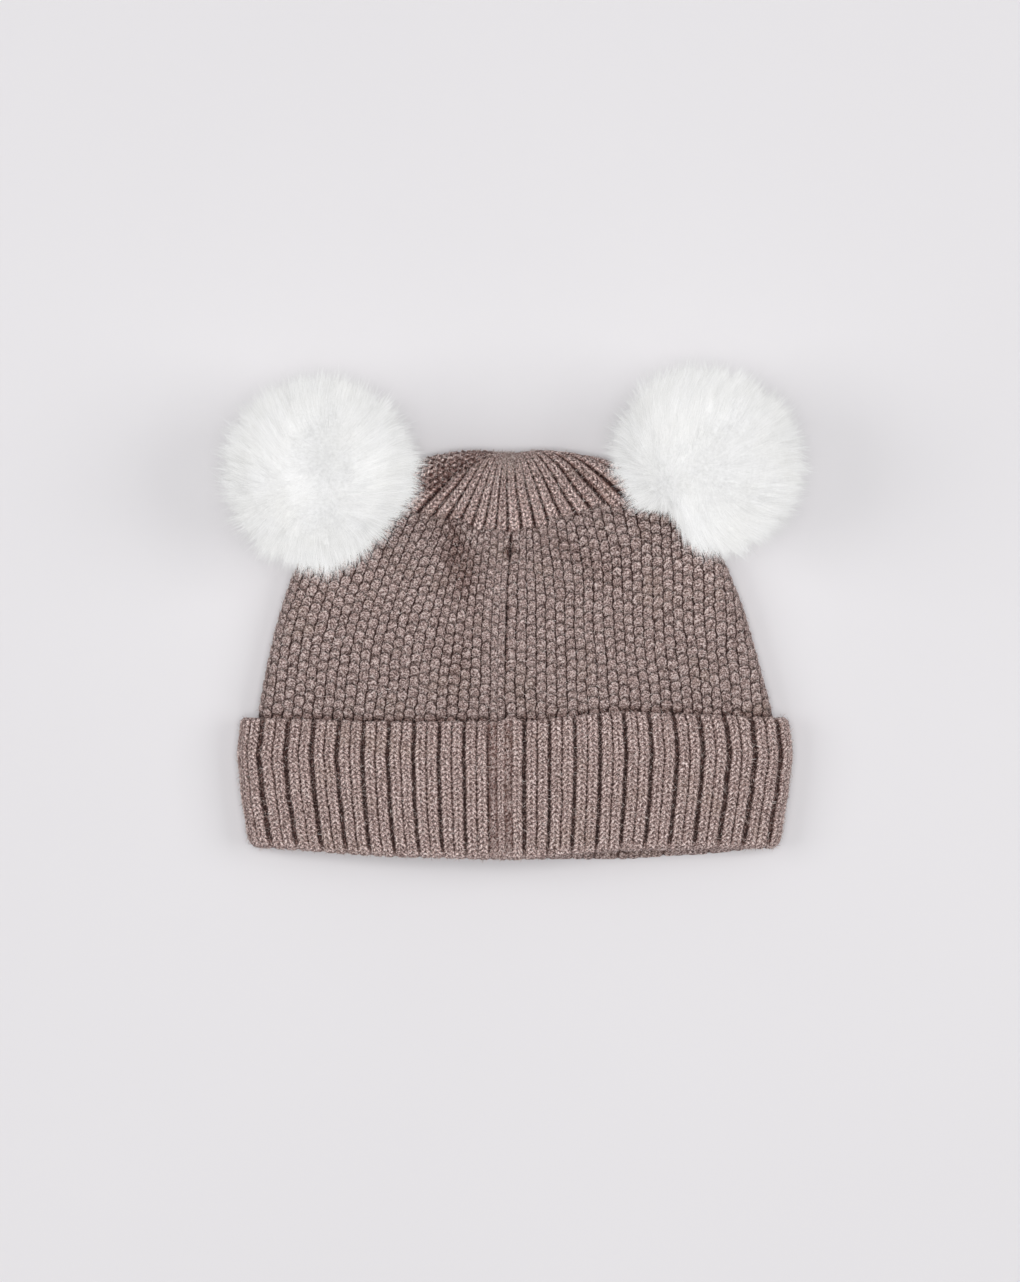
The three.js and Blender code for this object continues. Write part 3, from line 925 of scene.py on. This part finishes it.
def dented(node, way):
    """Share of the fur's reach that is left in each direction."""
    angle = np.degrees(np.arctan2(way[..., 1], way[..., 0]))
    share = np.ones(angle.shape)
    for dent in POMPOM_DENTS[node]:
        off = (angle - dent["angle"] + 180) % 360 - 180
        share -= dent["depth"] * bell(off / dent["width"]) * (1 - way[..., 2] ** 2)
    return share


def fur_strands(node, centre, radii, seed, rng):
    """Three points for each strand of a pompom, its tone, and whether it is a guard hair."""
    tufts = sphere_directions(FUR_TUFTS, 0.035, rng)
    tuft_lean = rng.normal(0, 0.05, tufts.shape)
    tuft_reach = rng.uniform(*TUFT_REACH, FUR_TUFTS)
    roots = sphere_directions(2 * FUR_STRANDS, 0.02, rng)
    thin = lerp(SHARE_BELOW, 1, smoothstep(-0.5, -0.1, roots[:, 2]))
    roots = roots[rng.uniform(0, 1, len(roots)) < thin]
    roots = roots[rng.permutation(len(roots))[:FUR_STRANDS]]
    tuft = nearest_tuft(roots, tufts)
    rim = smoothstep(0.6, 0.2, np.abs(roots[:, 2]))
    guard = rng.uniform(0, 1, FUR_STRANDS) < lerp(GUARD_SHARE["top"], GUARD_SHARE["rim"], rim)
    gather = (rng.uniform(0.35, 0.72, FUR_STRANDS) + 0.16 * (guard + 1) * rim)[:, None]

    wide = roots * 2 + 9
    swirl = [smooth_noise(wide[:, k], wide[:, k - 1], 1.0, seed + 5 + k) for k in range(3)]
    tips = lerp(roots, tufts[tuft] + tuft_lean[tuft], gather) + rng.normal(0, 0.035, roots.shape)
    away = roots[:, :2] - FUR_PARTS_AT[node]
    off = np.linalg.norm(away, axis=1, keepdims=True)
    past = smoothstep(0, 0.9, off)
    tips += lerp(FUR_SWIRL["parting"], FUR_SWIRL["elsewhere"], past) * np.stack(swirl, 1)
    tips[:, :2] += FUR_LEAN * away / off * past * smoothstep(-0.2, 0.5, roots[:, 2:])
    tips = unit(tips)
    reaches = [rng.uniform(*limits, FUR_STRANDS) for limits in (GUARD_REACH, UNDER_REACH)]
    reach = tuft_reach[tuft] * np.where(guard, *reaches) * (1 + 0.045 * swirl[0])

    strands = np.empty((FUR_STRANDS, 3, 3))
    for k, share in enumerate((0.0, 0.55, 1.0)):
        way = unit(lerp(roots, tips, share**1.5))
        distance = (lerp(ROOT_SHARE, reach, share) * dented(node, way))[:, None]
        strands[:, k] = centre + way * radii * distance
    above_floor(strands, 0.25 + rng.uniform(0, 1.2, (FUR_STRANDS, 1)))

    # The tone carries painted shade and light: darker low on the pompom and towards a tuft's edge,
    # painted shade; lighter on the upper part near the parting, painted light. Guard hairs are
    # lighter, and the rest is random tone.
    low_down = 1 - np.clip(roots[:, 2], 0, 1)
    inside = 1 - np.linalg.norm(roots - tufts[tuft], axis=1) / math.sqrt(4 * math.pi / FUR_TUFTS)
    tone = 0.06 - 0.16 * low_down + 0.2 * rng.uniform(0, 1, FUR_STRANDS)
    tone = tone + 0.7 * np.clip(inside, 0, 1)
    tone = tone + 0.18 * (1 - past[:, 0]) * smoothstep(0, 0.5, roots[:, 2])
    tone = tone + 0.15 * rng.uniform(-1, 1, FUR_TUFTS)[tuft] + 0.3 * guard
    return strands, tone, guard


def make_pompom(node, seed, materials):
    """The strands and the core of a pompom that is as high as it is wide, without the part that
    would be below the floor."""
    rng = np.random.default_rng(seed)
    centre, radii = pompom_box(node)
    centre[2] += radii[2] - radii[0]
    radii[2] = radii[0]
    strands, tone, guard = fur_strands(node, centre, radii, seed, rng)
    free = ~in_crown(strands[:, 1:]).any(1)
    width = STRAND_WIDTH * np.where(guard, GUARD_WIDTH, 1.0)[free, None, None]
    fur = ribbons(node + "_fur", strands[free], width, (1.0, 0.85), tone[free], rng, materials[:1])
    light_as_body(fur.data, centre)
    return [fur, make_core(node, centre, radii * CORE_SHARE, seed, materials[1:])]


def ribbons(name, strands, width, taper, tone, rng, materials):
    """One mesh of thin ribbons that follow the strands and end in a point."""
    count, length = strands.shape[:2]
    along = unit(strands[:, -1] - strands[:, 0])
    side = unit(np.cross(along, rng.normal(0, 1, (count, 3))))
    side = side * np.where(np.cross(side, along)[:, 2:] < 0, -1, 1)  # fronts face upwards
    half = width * np.array(taper)[None, :, None] * rng.uniform(0.7, 1.2, (count, 1, 1)) / 2
    pairs = np.stack([strands[:, :-1] + sign * side[:, None] * half for sign in (-1, 1)], 2)
    points = np.concatenate([pairs.reshape(count, -1, 3), strands[:, -1:]], 1)
    per = points.shape[1]
    quads = [corner for k in range(0, per - 3, 2) for corner in (k, k + 1, k + 3, k + 2)]
    strip = np.array(quads + [per - 3, per - 2, per - 1])
    corners = (np.arange(count)[:, None] * per + strip).ravel()
    sizes = np.tile([4] * (length - 2) + [3], count)
    made = new_object(name, points.reshape(-1, 3) * MM, corners, sizes, materials)
    share = np.append(np.repeat(np.linspace(0, 1, length)[:-1], 2), 1.0)
    add_attribute(made, "along", np.tile(share, count))
    add_attribute(made, "strand", np.repeat(tone, per))
    return made


def make_fuzz(name, points, normals, allowed, count, rng, materials):
    """Loose fibres that stand off a knitted surface, where allowed is true on its grid."""
    rows, columns = np.nonzero(allowed)
    picked = rng.integers(0, len(rows), count)
    start = points[rows[picked], columns[picked]] + rng.uniform(-0.25, 0.25, (count, 3))
    normal = normals[rows[picked], columns[picked]]
    lying = unit(np.cross(normal, rng.normal(0, 1, (count, 3))))
    length = FUZZ_LENGTH * rng.uniform(0.4, 1.3, (count, 1))
    rise = rng.uniform(0.1, 0.7, (count, 1))
    middle = start + lying * length * 0.5 + normal * length * rise * 0.5
    bend = unit(lying + rng.normal(0, 0.5, (count, 3)))
    end = middle + bend * length * 0.5 + normal * length * (rise - 0.35) * 0.5
    strands = above_floor(np.stack([start - normal * 0.2, middle, end], 1), 0.2)
    tone = rng.uniform(0, 1, count)
    return ribbons(name, strands, FUZZ_WIDTH, (1.0, 0.8), tone, rng, materials)


def make_core(node, centre, radii, seed, materials):
    """The dense body of the fur under its tips."""
    down, around = (np.linspace(0, 1, count) for count in CORE_GRID)
    bake = map_grid(around, down)
    turn, polar = bake[..., 0] * 2 * math.pi, bake[..., 1] * math.pi
    way = [np.sin(polar) * np.cos(turn), np.sin(polar) * np.sin(turn), np.cos(polar)]
    lumps = smooth_noise(way[0] * 9 + 50, way[1] * 9 + way[2] * 7 + 50, 1.0, seed)
    way = np.stack(way, -1)
    share = (1 + 0.02 * lumps) * dented(node, way)
    points = above_floor(centre + way * radii * share[..., None], 1.5)
    sheet = Sheet()
    ids = sheet.add_points(points=points, stitch=bake * 50, bake=bake, hollow=0.0)
    sheet.add_faces(grid_faces(ids, flip=True))
    made = sheet.make(node + "_core", materials)
    light_as_body(made.data, centre)
    return made


def light_as_body(mesh, centre):
    """Fur scatters light inside itself, so it takes the light as a round body lit mostly from
    above, whatever way its strands face."""
    points = np.empty(len(mesh.vertices) * 3)
    mesh.vertices.foreach_get("co", points)
    facing = unit(points.reshape(-1, 3) / MM - centre) * 0.25 + (0, 0, 1)
    mesh.normals_split_custom_set_from_vertices(unit(facing).tolist())


# ---------------------------------------------------------------- materials

# groove: where painted shade darkens the side of a column; strong: how much; least: share of it on
# top of the yarn; fine: fibres in each row; ends: painted shade along one stitch
YARNS = {
    "seed": {
        "groove": (0.78, 0.95), "strong": 0.98, "least": 0.55, "fine": 8.0,
        "ends": [(0.0, 0.22), (0.05, 0.58), (0.15, 1.0), (0.55, 0.92), (0.87, 0.70), (1.0, 0.24)],
    },
    "wales": {
        "groove": (0.74, 0.97), "strong": 0.84, "least": 0.22, "fine": 2.6,
        "ends": [(0.0, 0.42), (0.15, 0.86), (0.35, 1.0), (0.75, 0.95), (0.93, 0.70), (1.0, 0.42)],
    },
}
# Painted shade in the middle of a wale, darkest where one stitch meets the next.
WALE_DOTS = [(0.0, 0.98), (0.40, 0.16), (0.62, 0.16), (1.0, 0.98)]  # gaps in the middle of a wale
YARN_COLOURS = [
    (0.40, (0.09, 0.055, 0.05)),
    (0.465, (0.33, 0.228, 0.207)),
    (0.53, (0.57, 0.42, 0.388)),
    (0.60, (0.97, 0.825, 0.79)),
]
TAN, STRAY = (0.36, 0.27, 0.19), (0.55, 0.44, 0.41)
# Painted shade: the colour of the grooves and of the gaps in a wale, and how much darker the yarn
# is painted with its hollow shade.
PAINTED_GROOVE_SHADE, PAINTED_DOT_SHADE = (0.048, 0.022, 0.019), (0.07, 0.038, 0.034)
PAINTED_HOLLOW_SHADE = [(0.20, 1.0), (0.60, (0.51, 0.41, 0.385)), (0.95, (0.17, 0.10, 0.092))]
FIBRE_COLOURS = [
    (0.0, (0.16, 0.10, 0.09)),
    (0.3, (0.42, 0.32, 0.29)),
    (0.75, (0.60, 0.48, 0.44)),
    (1.0, (0.92, 0.84, 0.80)),
]
FUR_COLOURS = [(0.0, 0.565), (1.0, (0.84, 0.84, 0.845))]
# Painted shade: the fur is painted darker towards the roots, deep in the fur.
PAINTED_ROOT_SHADE = [(0.0, 0.78), (0.55, 0.95), (1.0, 1.0)]  # shade from root to tip
FUR_WARM = (0.72, 0.71, 0.655)
LIGHT_PAST_STRAND = 0.965  # share of the light that a strand's shadow lets through
FLOOR_COLOURS = [(0.3, (0.768, 0.750, 0.764)), (0.7, (0.783, 0.765, 0.779))]


class Value:
    """A socket that gives one number. Arithmetic with it adds maths nodes."""

    def __init__(self, nodes, socket):
        self.nodes, self.socket = nodes, socket

    def math(self, operation, *others):
        return self.nodes.math(operation, self, *others)

    def __add__(self, other):
        return self.math("ADD", other)

    def __sub__(self, other):
        return self.math("SUBTRACT", other)

    def __rsub__(self, other):
        return self.nodes.math("SUBTRACT", other, self)

    def __mul__(self, other):
        return self.math("MULTIPLY", other)


class Nodes:
    """A material's node tree, with short ways to add nodes and links."""

    def __init__(self, name):
        self.material = bpy.data.materials.new(name)
        self.material.use_nodes = True
        self.tree = self.material.node_tree
        self.tree.nodes.clear()
        self.output = self.add("ShaderNodeOutputMaterial")

    def put(self, socket, value):
        """Link the value to the socket or, when it is a constant, set it there."""
        value = getattr(value, "socket", value)
        if isinstance(value, bpy.types.NodeSocket):
            self.tree.links.new(value, socket)
        else:
            socket.default_value = (*value, 1) if socket.type == "RGBA" else value

    def add(self, kind, inputs=None, **settings):
        node = self.tree.nodes.new(kind)
        for key, value in settings.items():
            setattr(node, key, value)
        for key, value in (inputs or {}).items():
            self.put(node.inputs[key], value)
        return node

    def finish(self, shader):
        self.tree.links.new(shader, self.output.inputs["Surface"])
        return self.material

    def math(self, operation, *values):
        node = self.add("ShaderNodeMath", dict(enumerate(values)), operation=operation)
        return Value(self, node.outputs[0])

    def place(self):
        """Places in metres."""
        return self.add("ShaderNodeTexCoord").outputs["Object"]

    def attribute(self, name):
        return Value(self, self.add("ShaderNodeAttribute", attribute_name=name).outputs["Fac"])

    def noise(self, place, scale, detail, **others):
        inputs = {"Vector": place, "Scale": scale, "Detail": detail, **others}
        return Value(self, self.add("ShaderNodeTexNoise", inputs).outputs["Fac"])

    def steps(self, value, low, high):
        """0 at low and 1 at high, smooth between; low may be the greater one."""
        inputs = {0: value, 1: low, 2: high}
        node = self.add("ShaderNodeMapRange", inputs, interpolation_type="SMOOTHSTEP")
        return Value(self, node.outputs[0])

    def ramp(self, factor, stops):
        """Colours by factor; a stop's colour may be one number for a grey."""
        node = self.add("ShaderNodeValToRGB", {"Fac": factor})
        elements = node.color_ramp.elements
        while len(elements) < len(stops):
            elements.new(0.5)
        for element, (place, colour) in zip(elements, stops):
            element.position = place
            element.color = (*np.broadcast_to(colour, 3), 1)
        return Value(self, node.outputs["Color"])

    def mix(self, factor, first, second, blend="MIX"):
        inputs = {0: factor, 6: first, 7: second}
        return self.add("ShaderNodeMix", inputs, data_type="RGBA", blend_type=blend).outputs[2]

    def mix_shader(self, factor, first, second):
        shaders = {0: factor, 1: first, 2: second}
        return self.add("ShaderNodeMixShader", shaders).outputs[0]

    def principled(self, colour, roughness, specular, **others):
        inputs = {"Base Color": colour, "Roughness": roughness, "Specular IOR Level": specular}
        inputs.update({key.replace("_", " "): value for key, value in others.items()})
        return self.add("ShaderNodeBsdfPrincipled", inputs).outputs[0]


def yarn_material(name, kind, painted_brightness):
    """Melange wool: light and dark fibres that follow the stitches, with painted shade in the gaps,
    the grooves and the hollows and along each stitch. kind says whether the stitches are wales of
    plain knitting or columns of seed stitch."""
    nodes = Nodes(name)
    yarn = YARNS[kind]
    place = nodes.place()
    stitch = nodes.add("ShaderNodeUVMap", uv_map="stitch").outputs["UV"]
    hollow = nodes.attribute("hollow")
    split = nodes.add("ShaderNodeSeparateXYZ", {"Vector": stitch})
    u, v = Value(nodes, split.outputs[0]), Value(nodes, split.outputs[1])
    shake = (nodes.noise(place, 900, 2) - 0.5) * 0.55
    if kind == "wales":
        side = (((u + 1) * 0.5).math("FRACT") * 2 - 1).math("ABSOLUTE")
        run = v + side * LEG_LEAN
    else:
        column = u.math("FLOOR")
        across = (u - column) * 2 - 1
        side = across.math("ABSOLUTE")
        run = v + column.math("FLOORED_MODULO", 2) * 0.5 - across * across * HEAD_ARC
    phase = (run + shake * 0.55).math("FRACT")
    # Painted shade along each stitch and in the grooves between columns, stronger where the relief
    # is deep.
    row_shade = nodes.ramp(phase, yarn["ends"])
    deep = nodes.steps(hollow, 0.15, 0.50)
    edge = nodes.steps(side + shake * 0.8, *yarn["groove"])
    edge = edge * (deep * (1 - yarn["least"]) + yarn["least"])

    streak = nodes.add("ShaderNodeCombineXYZ", {0: u * 2.2, 1: run * yarn["fine"], 2: 0.0})
    fibre = nodes.noise(streak.outputs[0], 1.0, 3, Roughness=0.7)
    fleck = nodes.noise(place, 1700, 1, Roughness=0.6)
    both = fleck * 0.6 + fibre * 0.4
    tan = nodes.ramp(nodes.noise(place, 70, 3), [(0.55, 0.0), (0.72, 1.0)])
    colour = nodes.mix(tan * 0.22, nodes.ramp(both, YARN_COLOURS), TAN)
    colour = nodes.mix(1.0, colour, row_shade, "MULTIPLY")
    colour = nodes.mix(edge * yarn["strong"], colour, PAINTED_GROOVE_SHADE)
    if kind == "wales":
        # Painted shade in the gaps in the middle of a wale.
        middle = nodes.steps(side + shake * 0.6, 0.34, 0.08)
        colour = nodes.mix(middle * nodes.ramp(phase, WALE_DOTS), colour, PAINTED_DOT_SHADE)
    # Painted shade, darker with the hollow shade of the relief and of the creases.
    colour = nodes.mix(1.0, colour, nodes.ramp(hollow, PAINTED_HOLLOW_SHADE), "MULTIPLY")
    stray = nodes.steps(nodes.noise(place, 1050, 1, Distortion=1.5), 0.60, 0.70)
    colour = nodes.mix(stray * (0.32 - deep * 0.22), colour, STRAY)
    # Painted light and shade: each copy of the wool is made lighter or darker as a whole.
    colour = nodes.mix(1.0, colour, (painted_brightness,) * 3, "MULTIPLY")
    bump = nodes.add("ShaderNodeBump", {"Height": both, "Strength": 1.0, "Distance": 0.0010})
    return nodes.finish(nodes.principled(
        colour, 0.95, 0.08, Normal=bump.outputs[0],
        Sheen_Weight=0.15, Sheen_Roughness=0.6, Sheen_Tint=(1.0, 0.84, 0.80),
    ))


def fuzz_material():
    """The yarn's loose fibres, from brown to nearly white."""
    nodes = Nodes("melange_wool_fibres")
    tone = nodes.ramp(nodes.attribute("strand"), FIBRE_COLOURS)
    return nodes.finish(nodes.principled(tone, 0.8, 0.2))


def fur_material(name, loose):
    """White faux fur. Light reaches in between loose strands, but not through the dense part."""
    nodes = Nodes(name)
    place = nodes.place()
    strand = nodes.attribute("strand") if loose else nodes.noise(place, 900, 1)
    tone = nodes.ramp(strand, FUR_COLOURS)
    colour = nodes.mix(nodes.noise(place, 70, 2) * 0.3, tone, FUR_WARM)
    if loose:
        # Painted shade, darker towards the roots.
        colour = nodes.mix(1.0, colour, nodes.ramp(nodes.attribute("along"), PAINTED_ROOT_SHADE), "MULTIPLY")
    front = nodes.principled(colour, 0.75, 0.2, Sheen_Weight=0.1)
    through = nodes.add("ShaderNodeBsdfTranslucent", {"Color": colour}).outputs[0]
    behind = nodes.add("ShaderNodeNewGeometry").outputs["Backfacing"]
    both = nodes.mix_shader(behind, front, through)
    if not loose:
        return nodes.finish(both)
    clear = nodes.add("ShaderNodeBsdfTransparent").outputs[0]
    shadow = nodes.add("ShaderNodeLightPath").outputs["Is Shadow Ray"]
    half = nodes.mix_shader(LIGHT_PAST_STRAND, both, clear)
    return nodes.finish(nodes.mix_shader(shadow, both, half))


def floor_material():
    nodes = Nodes("floor_paper")
    colour = nodes.ramp(nodes.noise(nodes.place(), 4, 4), FLOOR_COLOURS)
    return nodes.finish(nodes.principled(colour, 0.9, 0.1))


# ---------------------------------------------------------------- stage

FLOOR_SIDE = 12.0  # in metres, as all that follows
LIGHTS = table(
    "name place size watts",
    ("overhead", (0, -0.05, 2.2), 1.1, 23.5),
    ("right", (1.5, 0.1, 1.4), 1.2, 13),
    ("left", (-1.5, 0.1, 1.4), 1.2, 12),
)
SKY = {"Color": (0.95, 0.96, 1.0, 1), "Strength": 0.22}
CAMERA_PLACE = (-0.0018, -0.00924, 1.6)
CAMERA_LENS = 123  # millimetres, for a sensor of 36


def make_floor():
    corners = np.array([[-1, -1, 0], [1, -1, 0], [1, 1, 0], [-1, 1, 0]]) * FLOOR_SIDE / 2
    floor = new_object("floor", corners, np.arange(4), np.array([4]), [floor_material()])


def make_light():
    """A dim sky and soft square lights that face the hat."""
    world = bpy.data.worlds.new("studio")
    world.use_nodes = True
    for key, value in SKY.items():
        world.node_tree.nodes["Background"].inputs[key].default_value = value
    bpy.context.scene.world = world
    for row in LIGHTS:
        light = bpy.data.lights.new(row["name"], "AREA")
        light.shape = "SQUARE"
        light.size = row["size"]
        light.energy = row["watts"]
        made = bpy.data.objects.new(row["name"], light)
        made.location = row["place"]
        made.rotation_euler = (-Vector(row["place"])).to_track_quat("-Z", "Y").to_euler()
        made.visible_camera = False
        bpy.context.scene.collection.objects.link(made)


def make_camera():
    """Straight above the hat, its top towards +Y."""
    camera = bpy.data.cameras.new("camera")
    camera.sensor_width = 36
    camera.lens = CAMERA_LENS
    made = bpy.data.objects.new("camera", camera)
    made.location = CAMERA_PLACE
    bpy.context.scene.collection.objects.link(made)
    bpy.context.scene.camera = made


bpy.context.scene.view_settings.view_transform = "Standard"
make_camera()
make_light()
make_floor()

# The same wool three times, each copy painted lighter or darker as a whole by its last number.
seed_knit = yarn_material("melange_wool_seed", "seed", 0.86)
rib_knit = yarn_material("melange_wool_rib", "wales", 1.12)
fan_knit = yarn_material("melange_wool_fan", "wales", 1.27)
loose = fuzz_material()
fur = [fur_material("faux_fur_strands", True), fur_material("faux_fur_dense", False)]
parts = [
    ("crown", "seed_knit", make_crown([seed_knit, fan_knit], [loose])),
    ("cuff", "rib_knit", make_cuff([rib_knit], [loose])),
    ("pompom_left", "faux_fur", make_pompom("pompom_left", 31, fur)),
    ("pompom_right", "faux_fur", make_pompom("pompom_right", 32, fur)),
]
for node, slot, made in parts:
    for piece in made:
        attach(piece, "root")
        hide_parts(node)
